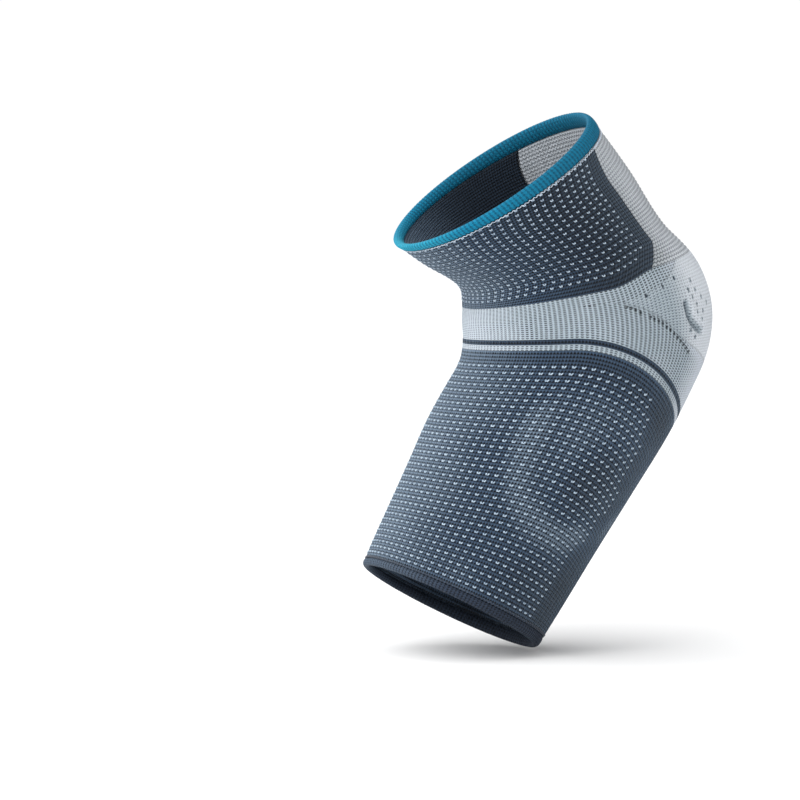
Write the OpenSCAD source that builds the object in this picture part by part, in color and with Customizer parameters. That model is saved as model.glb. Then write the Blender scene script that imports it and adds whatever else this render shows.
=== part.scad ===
// Knitted compression elbow support with two soft pads, worn shape, elbow bent.
// X points from the crook of the elbow to its tip, Z up the picture plane of the arm,
// and Y across the arm, with the outer (lateral) side at minus Y.
// The origin lies on the axis that the elbow flexes about. All sizes are millimetres.

/* [Arm position] */
// lean of the upper arm from the vertical, degrees
upper_lean = 46; // [0:1:80]
// lean of the forearm from the vertical, degrees
forearm_lean = 32; // [0:1:80]
// radius of the middle line where it turns at the elbow
bend_radius = 36; // [20:1:60]
// where the two arm axes cross, along X from the elbow axis
corner_x = 3.5; // [-10:0.5:15]
// where the two arm axes cross, along Z from the elbow axis
corner_z = -4; // [-15:0.5:10]

/* [Sleeve lengths, along the middle line from the elbow] */
// length up the arm, from the elbow to the upper hem
upper_length = 71; // [50:1:140]
// length down the forearm, from the elbow to the lower hem
forearm_length = 132; // [80:1:200]

/* [Upper hem] */
// hem, front to back
upper_hem_depth = 92.5; // [60:0.5:130]
// hem, side to side
upper_hem_width = 84; // [60:1:120]
// slant of the hem's front-to-back line, degrees above level
upper_hem_slant = 35; // [0:1:60]

/* [Upper arm just above the elbow] */
// depth, front to back
upper_low_depth = 87; // [60:0.5:130]
// width, side to side
upper_low_width = 81; // [60:1:120]
// slant of its front-to-back line, degrees
upper_low_slant = 17; // [0:1:60]

/* [Elbow] */
// depth from the crook to the tip of the elbow
elbow_depth = 106.5; // [80:0.5:140]
// width across the elbow
elbow_width = 83; // [60:1:120]
// slant of the front-to-back line through the tip, degrees
elbow_slant = 4.5; // [-20:0.5:20]
// how far the back draws in to the tip of the elbow, as a part of the width
elbow_point = 0.3; // [0:0.05:0.5]

/* [Forearm at its fullest] */
// depth, front to back
forearm_depth = 99; // [60:0.5:130]
// width, side to side
forearm_width = 84; // [60:1:120]
// slant of its front-to-back line, degrees below level
forearm_slant = 4.5; // [0:0.5:30]

/* [Lower hem] */
// hem, front to back
lower_hem_depth = 76; // [50:0.5:120]
// hem, side to side
lower_hem_width = 74; // [50:1:110]
// slant of the hem's front-to-back line, degrees below level
lower_hem_slant = 28; // [0:1:50]

/* [Knitted fabric] */
// thickness of the stretched knit
knit_thickness = 2; // [1:0.1:4]
// height of the folded welt at the upper hem
top_welt_height = 5.5; // [3:0.5:20]
// height of the welt at the lower hem
lower_welt_height = 4; // [3:0.5:20]
// how far each welt stands proud of the sleeve
welt_proud = 0.5; // [0:0.1:2]
// thickness of each ply of a folded welt
welt_ply = 0.9; // [0.4:0.1:2]
// width of the dark stripe and of the light stripe below the elbow
stripe_width = 2.5; // [1:0.5:10]
// thickness of the overlock thread that closes each welt
thread_size = 0.7; // [0.3:0.1:2]

/* [Knitted zones] */
// lower edge of the dark upper panel, along the middle line from the elbow
panel_edge = 12.5; // [5:0.5:30]
// how far that edge rises towards the back
panel_rise = 4; // [0:0.5:15]
// angle from the front to the back wedge, degrees
wedge_angle = 121; // [100:1:160]
// how much further back the wedge starts at the hem, degrees
wedge_flare = 8; // [0:1:20]
// how far the panel's lower corner is cut off towards the front, degrees
corner_cut = 14; // [0:1:30]
// top of the dark stripe at the front, along the middle line from the elbow
stripe_front = -7.5; // [-30:0.5:0]
// how far the stripe sweeps down at the back
stripe_sweep = 37; // [0:1:60]
// angle from the front to the point of the heel-shaped elbow cup, degrees
cup_point_angle = 85; // [75:1:120]
// angle from the front to the cup's upper corner, degrees
cup_corner_angle = 127; // [115:1:160]

/* [Pads] */
// height of each horseshoe pad along the arm
pad_length = 62; // [40:1:110]
// width of each horseshoe pad round the arm
pad_width = 62; // [30:1:80]
// width of the pad's two limbs
pad_limb = 17; // [8:1:24]
// thickness of the pads
pad_thickness = 4.5; // [2:0.5:10]
// angle from the front to the middle of each pad, degrees
pad_angle = 100; // [70:1:130]
// middle of each pad, along the middle line from the elbow
pad_middle = -68; // [-110:1:-50]
// thickness of the lining that pockets each pad
pocket_thickness = 0.8; // [0.4:0.1:2]
// how far the pocket reaches past its pad all round
pocket_margin = 8; // [4:0.5:15]

/* [Build] */
// facets round the sleeve, a multiple of four
facets_round = 48; // [32:4:64]

/* [Hidden] */

teal = [0.05, 0.5, 0.65];
navy = [0.22, 0.28, 0.38];
pale = [0.76, 0.79, 0.84];
gel = [0.35, 0.42, 0.55];
white = [0.9, 0.92, 0.95];
snug = 0.05;  // left between layers that lie on each other
ease = 0.25;  // left round a pad, whose facets cross those of the sleeve
half_turn = (180 - upper_lean - forearm_lean) / 2;  // half of the inside angle at the elbow
turn = 90 - half_turn;                              // half of the bend of the middle line
arc_half = bend_radius * turn * PI / 180;
corner = [corner_x, corner_z];
up_dir = [-sin(upper_lean), cos(upper_lean)];
down_dir = [-sin(forearm_lean), -cos(forearm_lean)];
tangent = bend_radius * tan(turn);
arc_start = corner + tangent * up_dir;
arc_centre = arc_start + bend_radius * [-up_dir[1], up_dir[0]];

// Middle line of the sleeve at a distance s from the elbow: straight, a bend, straight.
function middle(s) =
    s > arc_half ? arc_start + (s - arc_half) * up_dir :
    s < -arc_half ? corner + (tangent - s - arc_half) * down_dir :
    let (a = upper_lean - turn + (s / arc_half) * turn)
        arc_centre + bend_radius * [cos(a), sin(a)];

// Stations along the sleeve:
// [distance, slant, depth, half width, draw-in at the back]
STATIONS = [
    [-forearm_length, -lower_hem_slant, lower_hem_depth, lower_hem_width / 2, 0],
    [-0.77 * forearm_length, -0.56 * lower_hem_slant,
     mid(lower_hem_depth, forearm_depth, 0.33), mid(lower_hem_width, forearm_width, 0.4) / 2, 0],
    [-0.56 * forearm_length, -0.34 * lower_hem_slant,
     mid(lower_hem_depth, forearm_depth, 0.65), mid(lower_hem_width, forearm_width, 0.75) / 2, 0],
    [-0.36 * forearm_length, -forearm_slant, forearm_depth, forearm_width / 2, 0.03],
    [-0.15 * forearm_length, -0.1, mid(forearm_depth, elbow_depth, 0.5),
     mid(forearm_width, elbow_width, 0.5) / 2, 0.5 * elbow_point],
    [0, elbow_slant, elbow_depth, elbow_width / 2, elbow_point],
    [0.17 * upper_length, mid(elbow_slant, upper_low_slant, 0.5),
     mid(elbow_depth, upper_low_depth, 0.3), mid(elbow_width, upper_low_width, 0.6) / 2,
     0.75 * elbow_point],
    [0.39 * upper_length, upper_low_slant, upper_low_depth, upper_low_width / 2,
     0.15 * elbow_point],
    [0.7 * upper_length, mid(upper_low_slant, upper_hem_slant, 0.5),
     mid(upper_low_depth, upper_hem_depth, 0.6), mid(upper_low_width, upper_hem_width, 0.6) / 2, 0],
    [upper_length, upper_hem_slant, upper_hem_depth, upper_hem_width / 2, 0]
];
function mid(a, b, t) = a + (b - a) * t;
function clamp(x, lo, hi) = min(max(x, lo), hi);
function smooth(t) = let (u = clamp(t, 0, 1)) u * u * (3 - 2 * u);
LAST = len(STATIONS) - 1;
function find_station(s, k = 0) =
    k >= LAST - 1 || s <= STATIONS[k + 1][0] ? k : find_station(s, k + 1);
function slope(k) =
    let (a = max(k - 1, 0), b = min(k + 1, LAST))
        (STATIONS[b] - STATIONS[a]) / (STATIONS[b][0] - STATIONS[a][0]);
// Smooth curve through the stations.
function station(s) =
    let (k = find_station(s), p = STATIONS[k], q = STATIONS[k + 1], span = q[0] - p[0],
         t = (s - p[0]) / span, t2 = t * t, t3 = t2 * t)
        (2 * t3 - 3 * t2 + 1) * p + (t3 - 2 * t2 + t) * span * slope(k)
        + (3 * t2 - 2 * t3) * q + (t3 - t2) * span * slope(k + 1);

// Point of the sleeve: s along, a round from the front (0) over minus Y (90) to the back (180),
// and out, the distance outside the knit's outer face.
function skin(s, a, out = 0) =
    let (v = station(s), m = middle(s), h = v[2] / 2 + out, w = v[3] + out,
         narrow = 1 - v[4] * pow((1 - cos(a)) / 2, 2))
        [m[0] - h * cos(v[1]) * cos(a), -w * sin(a) * narrow, m[1] - h * sin(v[1]) * cos(a)];

// Curved edges of the knitted zones, as distance s at the angle a.
function back_angle(a) = 180 - abs(180 - a);
function panel_line(a) = panel_edge + panel_rise * smooth((back_angle(a) - 80) / 30);
function stripe_edge(a) = stripe_front - stripe_sweep * smooth((back_angle(a) - 60) / 115);
function gore_edge(a) =
    let (t = clamp((back_angle(a) - cup_point_angle) / 43, 0, 1))
        mid(panel_line(a), stripe_edge(a), 0.28 + 0.36 * sin(90 * t));

// Rows of the sleeve's grid, from the upper hem down.
ROWS = [2, 10, 6, 6, 1, 1, 16, 2];
ROW_AT = [0, 2, 12, 18, 24, 25, 26, 42, 44];
function edge(k, a) =
    k == 0 ? upper_length :
    k == 1 ? upper_length - top_welt_height :
    k == 2 ? panel_line(a) :
    k == 3 ? gore_edge(a) :
    k == 4 ? stripe_edge(a) :
    k == 5 ? stripe_edge(a) - stripe_width :
    k == 6 ? stripe_edge(a) - 2 * stripe_width :
    k == 7 ? lower_welt_height - forearm_length :
    -forearm_length;
function find_zone(i, k = 0) = k >= 7 || i <= ROW_AT[k + 1] ? k : find_zone(i, k + 1);
function row_s(i, a) =
    let (k = find_zone(i), t = (i - ROW_AT[k]) / ROWS[k]) mid(edge(k, a), edge(k + 1, a), t);

// Columns: two of them follow the wedge and the cup, and the rest spread evenly between.
half_cols = facets_round / 2;
wedge_col = round(half_cols * 0.58);
cup_col = wedge_col + 1;
even_wedge = 180 * wedge_col / half_cols;
even_cup = 180 * cup_col / half_cols;
corner_angle = wedge_angle - corner_cut;
// edge of the back wedge at a part t of the way down the upper panel
function wedge_edge(t) =
    wedge_angle + wedge_flare * pow(max(0, 1 - t / 0.3), 2)
    - corner_cut * clamp((t - 0.8) / 0.2, 0, 1);
CUP_AT = [wedge_angle + wedge_flare + 6, wedge_angle + wedge_flare + 6, cup_corner_angle,
          cup_point_angle, even_cup, even_cup, even_cup, even_cup, even_cup];
function col_angle_half(i, j) =
    let (k = find_zone(i), t = (i - ROW_AT[k]) / ROWS[k],
         w = k == 0 ? wedge_edge(0) : k == 1 ? wedge_edge(t) :
             k == 2 ? mid(corner_angle, cup_point_angle - 7, t) :
             k == 3 ? mid(cup_point_angle - 7, even_wedge, t) : even_wedge,
         c = k == 2 ? mid(CUP_AT[3], CUP_AT[2], pow(1 - t, 1.7))
                    : mid(CUP_AT[k], CUP_AT[k + 1], t))
        j <= wedge_col ? w * j / wedge_col :
        j <= cup_col ? c :
        mid(c, 180, (j - cup_col) / (half_cols - cup_col));
function col_angle(i, j) =
    j <= half_cols ? col_angle_half(i, j) : 360 - col_angle_half(i, facets_round - j);
function grid_point(i, j, out) = let (a = col_angle(i, j)) skin(row_s(i, a), a, out);
function at_back(j, col) = j >= col && j < facets_round - col;

// Fabric between rows i0 and i1, over the cells that has(row, column) keeps: an outer face,
// an inner face, and a cut edge wherever the next cell is missing.
module knit_zone(i0, i1, has = function (i, j) true) {
    n = facets_round;
    outer = [for (i = [i0:i1], j = [0:n - 1]) grid_point(i, j, 0)];
    inner = [for (i = [i0:i1], j = [0:n - 1]) grid_point(i, j, -knit_thickness)];
    half = len(outer);
    kept = function (i, j) i >= i0 && i < i1 && has(i, (j + n) % n);
    faces = [
        for (i = [i0:i1 - 1], j = [0:n - 1]) if (kept(i, j))
            let (a = (i - i0) * n + j, b = (i - i0) * n + (j + 1) % n, c = a + n, d = b + n)
                each concat(
                    [[a, d, c], [a, b, d], [half + a, half + c, half + d],
                     [half + a, half + d, half + b]],
                    kept(i - 1, j) ? [] : [[a, half + b, b], [a, half + a, half + b]],
                    kept(i + 1, j) ? [] : [[c, d, half + d], [c, half + d, half + c]],
                    kept(i, j - 1) ? [] : [[a, c, half + c], [a, half + c, half + a]],
                    kept(i, j + 1) ? [] : [[b, half + d, d], [b, half + b, half + d]])
    ];
    polyhedron(points = concat(outer, inner), faces = faces, convexity = 8);
}

// A closed section swept right round the sleeve. Each section point is [s, out].
module ring_section(section) {
    n = facets_round;
    m = len(section);
    points = [for (j = [0:n - 1], p = section) skin(p[0], 360 * j / n, p[1])];
    faces = [
        for (j = [0:n - 1], k = [0:m - 1])
            let (a = j * m + k, b = j * m + (k + 1) % m,
                 c = ((j + 1) % n) * m + k, d = ((j + 1) % n) * m + (k + 1) % m)
                each [[a, b, d], [a, d, c]]
    ];
    polyhedron(points = points, faces = faces, convexity = 8);
}

// A welt folded over its elastic: outer ply, fold and inner ply round an open channel.
module folded_welt(hem, inward, height) {
    o = welt_proud;
    i = -knit_thickness - welt_proud;
    s = [[0, o], [height, o], [height, o - welt_ply], [welt_ply, o - welt_ply],
         [welt_ply, i + welt_ply], [height, i + welt_ply], [height, i], [0, i]];
    ring_section([for (k = [0:7]) let (p = s[inward > 0 ? k : 7 - k]) [hem + inward * p[0], p[1]]]);
}

module welt_elastic(hem, inward, height) {
    o = welt_proud - welt_ply - snug;
    i = welt_ply - knit_thickness - welt_proud + snug;
    near = hem + inward * (welt_ply + snug);
    far = hem + inward * (height - snug);
    s = [[near, o], [far, o], [far, i], [near, i]];
    ring_section([for (k = [0:3]) s[inward > 0 ? k : 3 - k]]);
}

module seam_thread(at) {
    t = thread_size / 2;
    s = [[at + t, 0.1], [at + t, 0.1 + t], [at, 0.1 + thread_size], [at - t, 0.1 + t], [at - t, 0.1]];
    ring_section([for (k = [0:4]) s[4 - k]]);
}

// Pads. A pad point is given by x across and z along the arm, from the pad's middle.
mean_radius = forearm_width / 2 + 2;
function pad_skin(x, z, out, side) =
    skin(pad_middle + z, side * (pad_angle + x * 180 / PI / mean_radius), out);
pad_r = (pad_width - pad_limb) / 2;
pad_arm = pad_length - pad_limb / 2 - pad_r - pad_limb / 2;
pad_path_len = 2 * pad_arm + PI * pad_r;
// middle line of the horseshoe, open towards the elbow
function horseshoe(t) =
    let (d = t * pad_path_len, top = pad_length / 2 - pad_limb / 2)
        d < pad_arm ? [-pad_r, top - d, 0] :
        d > pad_path_len - pad_arm ? [pad_r, top - (pad_path_len - d), 180] :
        let (a = 180 * (d - pad_arm) / (PI * pad_r))
            [-pad_r * cos(a), top - pad_arm - pad_r * sin(a), a];
pad_steps = 30;
// width of the limb along the path, rounded off at both ends
function limb_half(t) =
    let (d = min(t, 1 - t) * pad_path_len, r = pad_limb / 2)
        d >= r ? r : max(2.5, sqrt(max(0, r * r - (r - d) * (r - d))));
module pad(side) {
    top = -knit_thickness - ease;
    low = top - pad_thickness;
    m = 6;
    points = [for (k = [0:pad_steps])
        let (t = k / pad_steps, p = horseshoe(t), w = limb_half(t), c = cos(p[2]), s = sin(p[2]))
            for (q = [[-1, top], [-1, top - 0.4 * pad_thickness], [-0.7, low],
                      [0.7, low], [1, top - 0.4 * pad_thickness], [1, top]])
                pad_skin(p[0] + c * w * q[0], p[1] + s * w * q[0], q[1], side)];
    flip = side > 0;
    faces = concat(
        [for (k = [0:pad_steps - 1], q = [0:m - 1])
            let (a = k * m + q, b = k * m + (q + 1) % m, c = a + m, d = b + m)
                each (flip ? [[a, b, d], [a, d, c]] : [[a, d, b], [a, c, d]])],
        [flip ? [for (q = [0:m - 1]) m - 1 - q] : [for (q = [0:m - 1]) q]],
        [flip ? [for (q = [0:m - 1]) pad_steps * m + q]
              : [for (q = [0:m - 1]) pad_steps * m + m - 1 - q]]);
    polyhedron(points = points, faces = faces, convexity = 10);
}

// Lining over the pad, a shallow dish whose rim meets the sleeve.
pocket_round = 32;
RIM = [[0.35, 1], [0.7, 1], [0.9, 1], [1, 0.0]];
function pocket_edge(a) =
    let (hx = pad_width / 2 + pocket_margin, hz = pad_length / 2 + pocket_margin, n = 4,
         c = abs(cos(a)), s = abs(sin(a)), r = pow(pow(c / hx, n) + pow(s / hz, n), -1 / n))
        [r * cos(a), r * sin(a)];
module pocket(side) {
    n = pocket_round;
    over = -knit_thickness - 2 * ease - pad_thickness;
    face_out = [for (r = RIM, j = [0:n - 1])
        let (e = pocket_edge(360 * j / n))
            pad_skin(e[0] * r[0], e[1] * r[0],
                     r[1] > 0 ? over : -knit_thickness - ease, side)];
    face_in = [for (r = RIM, j = [0:n - 1])
        let (e = pocket_edge(360 * j / n))
            pad_skin(e[0] * r[0], e[1] * r[0],
                     (r[1] > 0 ? over : -knit_thickness - ease) - pocket_thickness, side)];
    half = len(face_out);
    points = concat(face_out, face_in, [pad_skin(0, 0, over, side),
                                        pad_skin(0, 0, over - pocket_thickness, side)]);
    rings = len(RIM);
    raw = concat(
        [for (k = [0:rings - 2], j = [0:n - 1])
            let (a = k * n + j, b = k * n + (j + 1) % n, c = a + n, d = b + n)
                each [[a, c, d], [a, d, b], [half + a, half + d, half + c],
                      [half + a, half + b, half + d]]],
        [for (j = [0:n - 1])
            let (a = j, b = (j + 1) % n, c = (rings - 1) * n + j, d = (rings - 1) * n + b)
                each [[2 * half, a, b], [2 * half + 1, half + b, half + a],
                      [c, half + d, d], [c, half + c, half + d]]]);
    faces = side > 0 ? raw : [for (f = raw) [f[2], f[1], f[0]]];
    polyhedron(points = points, faces = faces, convexity = 10);
}

// Thread that sews the pocket's rim to the sleeve, on the inside, just past the rim.
module pocket_seam(side) {
    n = pocket_round;
    near = 0.4;
    far = near + thread_size;
    top = -knit_thickness - ease;
    points = [for (j = [0:n - 1])
        let (e = pocket_edge(360 * j / n))
            for (q = [[far, top], [far, top - thread_size], [near, top - thread_size], [near, top]])
                let (g = 1 + q[0] / norm(e)) pad_skin(e[0] * g, e[1] * g, q[1], side)];
    faces = [for (j = [0:n - 1], q = [0:3])
        let (a = j * 4 + q, b = j * 4 + (q + 1) % 4,
             c = ((j + 1) % n) * 4 + q, d = ((j + 1) % n) * 4 + (q + 1) % 4)
            each (side > 0 ? [[a, b, d], [a, d, c]] : [[a, d, b], [a, c, d]])];
    polyhedron(points = points, faces = faces, convexity = 10);
}

module top_welt() color(teal) folded_welt(upper_length, -1, top_welt_height);
module top_welt_elastic() color(white) welt_elastic(upper_length, -1, top_welt_height);
module top_seam_thread() color(white) seam_thread(upper_length - top_welt_height - thread_size);
module upper_panel()
    color(navy) knit_zone(2, 12, function (i, j) !at_back(j, wedge_col));
module back_wedge()
    color(pale) knit_zone(2, 12, function (i, j) at_back(j, wedge_col));
module elbow_band()
    color(pale) knit_zone(12, 24, function (i, j) i >= 18 || !at_back(j, cup_col));
module elbow_cup()
    color(pale) knit_zone(12, 18, function (i, j) at_back(j, cup_col));
module dark_stripe() color(navy) knit_zone(24, 25);
module light_stripe() color(pale) knit_zone(25, 26);
module forearm_sleeve() color(navy) knit_zone(26, 42);
module lower_welt() color(navy) folded_welt(-forearm_length, 1, lower_welt_height);
module lower_welt_elastic() color(white) welt_elastic(-forearm_length, 1, lower_welt_height);
module lower_seam_thread() color(navy) seam_thread(lower_welt_height - forearm_length + thread_size);
module lateral_pad() color(gel) pad(1);
module medial_pad() color(gel) pad(-1);
module lateral_pad_pocket() color(navy) pocket(1);
module medial_pad_pocket() color(navy) pocket(-1);
module lateral_pocket_seam() color(navy) pocket_seam(1);
module medial_pocket_seam() color(navy) pocket_seam(-1);

top_welt();
top_welt_elastic();
top_seam_thread();
upper_panel();
back_wedge();
elbow_band();
elbow_cup();
dark_stripe();
light_stripe();
forearm_sleeve();
lower_welt();
lower_welt_elastic();
lower_seam_thread();
lateral_pad();
medial_pad();
lateral_pad_pocket();
medial_pad_pocket();
lateral_pocket_seam();
medial_pocket_seam();
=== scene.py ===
# %% [markdown]
# # A knitted elbow support
#
# This is a tube of elastic knit that is worn over a bent elbow. Its colours are knitted in, so
# the tube is made here in the zones that a knitting machine would make: a teal welt at the top,
# a navy dotted panel, a pale wedge at the back, a pale band and cup round the elbow, two thin
# stripes, the long navy sleeve of the forearm, and a plain welt at the wrist end. Inside, two gel
# pads lie in lined pockets on the two sides of the forearm, just below the elbow.
#
# The frame comes first: it loads the CAD parts, holds the unit of size and measures the CAD parts'
# box.

# %% Frame
import math

import bpy
import numpy as np
from mathutils import Matrix, Vector


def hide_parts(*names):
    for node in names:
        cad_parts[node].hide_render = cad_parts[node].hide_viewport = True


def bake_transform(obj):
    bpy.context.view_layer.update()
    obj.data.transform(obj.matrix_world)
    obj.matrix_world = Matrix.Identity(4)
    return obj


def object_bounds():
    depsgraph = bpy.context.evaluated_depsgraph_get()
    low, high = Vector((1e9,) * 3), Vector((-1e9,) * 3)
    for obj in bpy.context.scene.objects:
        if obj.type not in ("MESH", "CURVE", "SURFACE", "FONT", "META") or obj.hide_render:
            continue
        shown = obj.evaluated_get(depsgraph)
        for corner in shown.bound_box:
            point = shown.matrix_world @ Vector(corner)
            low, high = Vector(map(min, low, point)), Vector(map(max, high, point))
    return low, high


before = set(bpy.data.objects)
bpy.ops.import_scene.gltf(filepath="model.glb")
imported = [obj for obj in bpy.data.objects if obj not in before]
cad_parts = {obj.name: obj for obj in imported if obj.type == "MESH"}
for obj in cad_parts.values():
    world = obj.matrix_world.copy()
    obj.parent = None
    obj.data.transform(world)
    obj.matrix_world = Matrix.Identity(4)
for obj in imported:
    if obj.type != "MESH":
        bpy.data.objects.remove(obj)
cad_low, cad_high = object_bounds()
bpy.ops.object.select_all(action="DESELECT")
MM = 0.001
print("CAD box in mm:", [round(x / MM) for x in cad_high - cad_low])

# %% [markdown]
# The camera stands in front and a little to the left of the arm, almost level with the elbow.
# It could be turned by hand, but two angles and a distance say the same, and the point that it
# looks at is given along the view's own right and up.

# %% Camera
CAMERA_AZIMUTH = math.radians(-25)
CAMERA_ELEVATION = math.radians(3)
CAMERA_DISTANCE = 1.5
CAMERA_LENS = 168.7
LOOK_RIGHT, LOOK_UP = -82 * MM, -40 * MM
back = Vector((
    math.sin(CAMERA_AZIMUTH) * math.cos(CAMERA_ELEVATION),
    -math.cos(CAMERA_AZIMUTH) * math.cos(CAMERA_ELEVATION),
    math.sin(CAMERA_ELEVATION),
))
right = Vector((math.cos(CAMERA_AZIMUTH), math.sin(CAMERA_AZIMUTH), 0))
up = back.cross(right)
target = right * LOOK_RIGHT + up * LOOK_UP
bpy.ops.object.camera_add(location=target + back * CAMERA_DISTANCE)
camera = bpy.context.object
camera.data.lens = CAMERA_LENS
camera.data.sensor_width = 36
camera.rotation_mode = "QUATERNION"
camera.rotation_quaternion = (-back).to_track_quat("-Z", "Y")
bpy.context.scene.camera = camera
print("camera at", [round(x, 3) for x in camera.location])

# %% [markdown]
# The light is a studio's white tent: it is white all round at eye level, so there is no horizon,
# and overhead it is bright on the left and dim on the right, which shapes the sleeve. Lamps alone
# would leave the far floor grey, so most of the light is painted on the sky.

# %% Studio
scene = bpy.context.scene
scene.view_settings.view_transform = "Standard"
world = bpy.data.worlds.new("white_tent")
world.use_nodes = True
world.node_tree.nodes["Background"].inputs["Color"].default_value = (1, 1, 1, 1)
scene.world = world
SKY_BRIGHT, SKY_DIM, SKY_LEVEL = 2.0, 0.1, 1.02
SKY_TOWARD = Vector((-0.95, -0.05, 0.25)).normalized()
SKY_FALL = 0.8
LEVEL_ENDS, OVERHEAD_BEGINS = 0.15, 0.35
FLOOR_WHITE = 0.93


def paint_sky(tree):
    """Level white at eye height, and a soft left-to-right fall of light above it."""
    place = tree.nodes.new("ShaderNodeTexCoord").outputs["Generated"]
    toward = tree.nodes.new("ShaderNodeVectorMath")
    toward.operation = "DOT_PRODUCT"
    tree.links.new(place, toward.inputs[0])
    toward.inputs[1].default_value = SKY_TOWARD
    fall = tree.nodes.new("ShaderNodeMapRange")
    fall.interpolation_type = "SMOOTHSTEP"
    tree.links.new(toward.outputs["Value"], fall.inputs["Value"])
    for socket, number in (("From Min", -SKY_FALL), ("From Max", SKY_FALL), ("To Min", SKY_DIM),
                           ("To Max", SKY_BRIGHT)):
        fall.inputs[socket].default_value = number
    height = tree.nodes.new("ShaderNodeSeparateXYZ")
    tree.links.new(place, height.inputs["Vector"])
    above = tree.nodes.new("ShaderNodeMapRange")
    tree.links.new(height.outputs["Z"], above.inputs["Value"])
    above.inputs["From Min"].default_value = LEVEL_ENDS
    above.inputs["From Max"].default_value = OVERHEAD_BEGINS
    level = tree.nodes.new("ShaderNodeMix")
    tree.links.new(above.outputs["Result"], level.inputs["Factor"])
    level.inputs["A"].default_value = SKY_LEVEL
    tree.links.new(fall.outputs["Result"], level.inputs["B"])
    tree.links.new(level.outputs["Result"], tree.nodes["Background"].inputs["Strength"])


paint_sky(world.node_tree)


def lamp(name, toward, distance, size, watts):
    """A square soft lamp that shines at the elbow from a direction."""
    direction = Vector(toward).normalized()
    bpy.ops.object.light_add(type="AREA", location=direction * distance)
    made = bpy.context.object
    made.name = name
    made.rotation_mode = "QUATERNION"
    made.rotation_quaternion = direction.to_track_quat("Z", "Y")
    made.data.size = size
    made.data.energy = watts
    print(name, "shines from", [round(x, 2) for x in made.location])


lamp("key", (-0.9, -0.45, 0.8), distance=1.3, size=0.6, watts=4)
lamp("glow", (-0.9, 0.7, 0.3), distance=1.2, size=0.6, watts=3)

bpy.ops.mesh.primitive_plane_add(size=30, location=(0, 0, cad_low.z - 0.5 * MM))
floor = bpy.context.object
floor.name = "floor"
floor_material = bpy.data.materials.new("floor_white")
floor_material.use_nodes = True
floor_shader = floor_material.node_tree.nodes["Principled BSDF"]
floor_shader.inputs["Base Color"].default_value = (FLOOR_WHITE, FLOOR_WHITE, FLOOR_WHITE, 1)
floor_shader.inputs["Roughness"].default_value = 0.8
floor.data.materials.append(floor_material)
bpy.ops.object.select_all(action="DESELECT")

# %% [markdown]
# ## The shape of a bent arm
#
# Everything lies on one surface, the outside of the sleeve. A place on it has two numbers, as on
# a map: `along`, in mm from the elbow (up the arm is more, down the forearm is less), and
# `round`, in degrees from the crook (0) over the outer side (90) to the point of the elbow (180).
# The code shortens them to s and a, and `out` is a height above that surface.
# The middle line is two straight lines with an arc between them, and a few cross-sections on it
# say how deep, wide and tilted the arm is. It could be modelled by hand from a cylinder, but then
# stripes, dots and seams would each need fitting. With a map, they are just places.

# %% Middle line
UPPER_LEAN = math.radians(46)
FOREARM_LEAN = math.radians(32)
BEND_RADIUS = 36.0
CORNER = np.array([3.5, -4.0])
UPPER_LENGTH = 71.0
FOREARM_LENGTH = 132.0
arc_turn = math.pi / 2 - (math.pi - UPPER_LEAN - FOREARM_LEAN) / 2
arc_half = BEND_RADIUS * arc_turn
up_line = np.array([-math.sin(UPPER_LEAN), math.cos(UPPER_LEAN)])
down_line = np.array([-math.sin(FOREARM_LEAN), -math.cos(FOREARM_LEAN)])
arc_reach = BEND_RADIUS * math.tan(arc_turn)
arc_start = CORNER + arc_reach * up_line
arc_centre = arc_start + BEND_RADIUS * np.array([-up_line[1], up_line[0]])


def smooth(t):
    """0 before 0, 1 after 1, and a soft step between."""
    t = np.clip(t, 0, 1)
    return t * t * (3 - 2 * t)


def mid(a, b, t):
    """The value a part t of the way from a to b."""
    return a + (b - a) * t


def middle(along):
    """The point of the middle line, in x and z."""
    s = np.asarray(along, float)[..., None]
    turn = UPPER_LEAN - arc_turn + (s / arc_half) * arc_turn
    on_arc = arc_centre + BEND_RADIUS * np.concatenate([np.cos(turn), np.sin(turn)], -1)
    on_upper = arc_start + (s - arc_half) * up_line
    on_forearm = CORNER + (arc_reach - s - arc_half) * down_line
    return np.where(s > arc_half, on_upper, np.where(s < -arc_half, on_forearm, on_arc))


print("the two arm lines meet at", round(180 - 2 * math.degrees(arc_turn)), "degrees")

# %% Cross-sections
# each row: share of the forearm (below 0) or of the upper arm, tilt in degrees, depth, half width,
# and how much the back narrows to a point
STATIONS = np.array([
    [-1.0, -28.0, 76.0, 37.0, 0.0],
    [-0.77, -15.7, 83.6, 39.0, 0.0],
    [-0.56, -9.5, 90.95, 40.75, 0.0],
    [-0.36, -4.5, 99.0, 42.0, 0.03],
    [-0.15, -0.1, 102.75, 41.75, 0.15],
    [0.0, 4.5, 106.5, 41.5, 0.3],
    [0.17, 10.75, 100.65, 40.9, 0.225],
    [0.39, 17.0, 87.0, 40.5, 0.045],
    [0.7, 26.0, 90.3, 41.4, 0.0],
    [1.0, 35.0, 92.5, 42.0, 0.0],
])
STATIONS[:, 0] *= np.where(STATIONS[:, 0] < 0, FOREARM_LENGTH, UPPER_LENGTH)
before = STATIONS[[0, *range(len(STATIONS) - 1)]]
after = STATIONS[[*range(1, len(STATIONS)), -1]]
SLOPES = (after - before) / (after[:, :1] - before[:, :1])


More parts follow.
